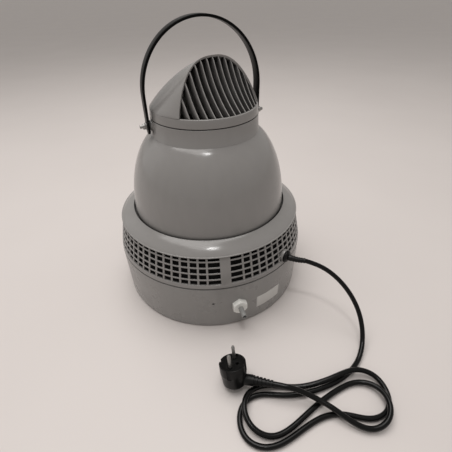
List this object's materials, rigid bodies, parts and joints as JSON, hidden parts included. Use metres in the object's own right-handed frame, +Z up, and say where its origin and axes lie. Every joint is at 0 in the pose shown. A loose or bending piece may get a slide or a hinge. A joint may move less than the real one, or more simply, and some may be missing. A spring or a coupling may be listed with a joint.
{
  "type": "spinning disc humidifier",
  "caption": "Free-standing spinning-disc humidifier with round water tank, slotted air ring, dome, swivelling louvred outlet, carrying strap and mains lead.",
  "frame": {"origin": "centre of the tank's flat bottom, on the axis of the tank, rotor and outlet", "axes": "+Z up along the axis of the rotor; -Y towards the side with the water inlet"},
  "size_m": [0.4055, 0.5029, 0.4238],
  "materials": {
    "grey_plastic": "satin moulded grey",
    "tank_plastic": "satin moulded warm grey",
    "inner_plastic": "moulded dark grey",
    "louvre_plastic": "satin moulded grey",
    "white_plastic": "moulded white nylon",
    "float_plastic": "blown pale plastic",
    "pipe_grey": "grey tube",
    "plate_foil": "blank matt foil label",
    "rotor_plastic": "moulded dark grey",
    "black_plastic": "moulded black",
    "strap_black": "satin black strap",
    "black_rubber": "satin black PVC",
    "black_cable": "satin black PVC sheath",
    "seal_rubber": "matt black rubber",
    "filter_foam": "open-cell black foam",
    "motor_metal": "dark grey paint",
    "core_steel": "laminated steel",
    "steel": "bright zinc plated",
    "copper": "enamelled copper wire",
    "brass": "plain brass"
  },
  "bodies": {
    "housing": {"tank": "tank_plastic", "inlet_fitting": "white_plastic", "inlet_seal": "seal_rubber", "inlet_nut": "white_plastic", "inlet_pipe": "pipe_grey", "rating_plate": "plate_foil", "float_pin": "steel", "splash_deck": "inner_plastic", "comb_ring": "inner_plastic", "intake_ring": "grey_plastic", "air_filter": "filter_foam", "collar": "grey_plastic", "motor_bracket": "inner_plastic", "bracket_screws": "steel", "dome": "grey_plastic", "dome_screws": "steel", "motor_can": "motor_metal", "motor_cap": "motor_metal", "motor_screws": "steel", "stator_core": "core_steel", "stator_windings": "copper", "bearing_lower": "steel", "bearing_upper": "steel", "shaft_seal": "seal_rubber", "motor_lead": "black_cable", "lead_grommet": "black_rubber", "handle_studs": "steel", "handle_spacers": "grey_plastic", "handle_washers": "steel", "handle_nuts": "steel", "cable_gland": "black_plastic", "gland_locknut": "black_plastic", "cord_boot": "black_rubber", "mains_cord": "black_cable", "plug_body": "black_rubber", "plug_pins": "steel", "plug_earth_clips": "brass"},
    "rotor": {"shaft": "steel", "rotor_core": "core_steel", "fan": "rotor_plastic", "atomiser_disc": "rotor_plastic", "suction_cone": "rotor_plastic", "disc_nut": "brass"},
    "outlet_cap": {"outlet_base": "grey_plastic", "outlet_hood": "grey_plastic", "outlet_louvres": "louvre_plastic", "swivel_ring": "black_plastic"},
    "handle": {"handle_strap": "strap_black"},
    "float": {"float_arm": "white_plastic", "float_bulb": "float_plastic"},
    "plunger": {"valve_plunger": "brass"}
  },
  "joints": [
    {"name": "cap_swivel", "type": "hinge", "parent": "housing", "child": "outlet_cap", "pos_m": [0, 0, 0.3006], "axis": [0, 0, 1], "continuous": true},
    {"name": "handle_swing", "type": "hinge", "parent": "housing", "child": "handle", "pos_m": [0, 0, 0.2915], "axis": [0.9225, 0.3859, 0], "range_deg": [-108, 108]},
    {"name": "rotor_spin", "type": "hinge", "parent": "housing", "child": "rotor", "pos_m": [0, 0, 0.15], "axis": [0, 0, 1], "continuous": true},
    {"name": "float_swing", "type": "hinge", "parent": "housing", "child": "float", "pos_m": [0.03778, -0.12512, 0.0365], "axis": [0.9573, 0.289, 0], "range_deg": [0, 20]},
    {"name": "valve_slide", "type": "slide", "parent": "housing", "child": "plunger", "axis": [0.289, -0.9573, 0], "range_m": [0, 0.0034]}
  ],
  "couplings": [
    {"joint": "valve_slide", "follows": "float_swing", "m_per_rad": 0.0095}
  ]
}
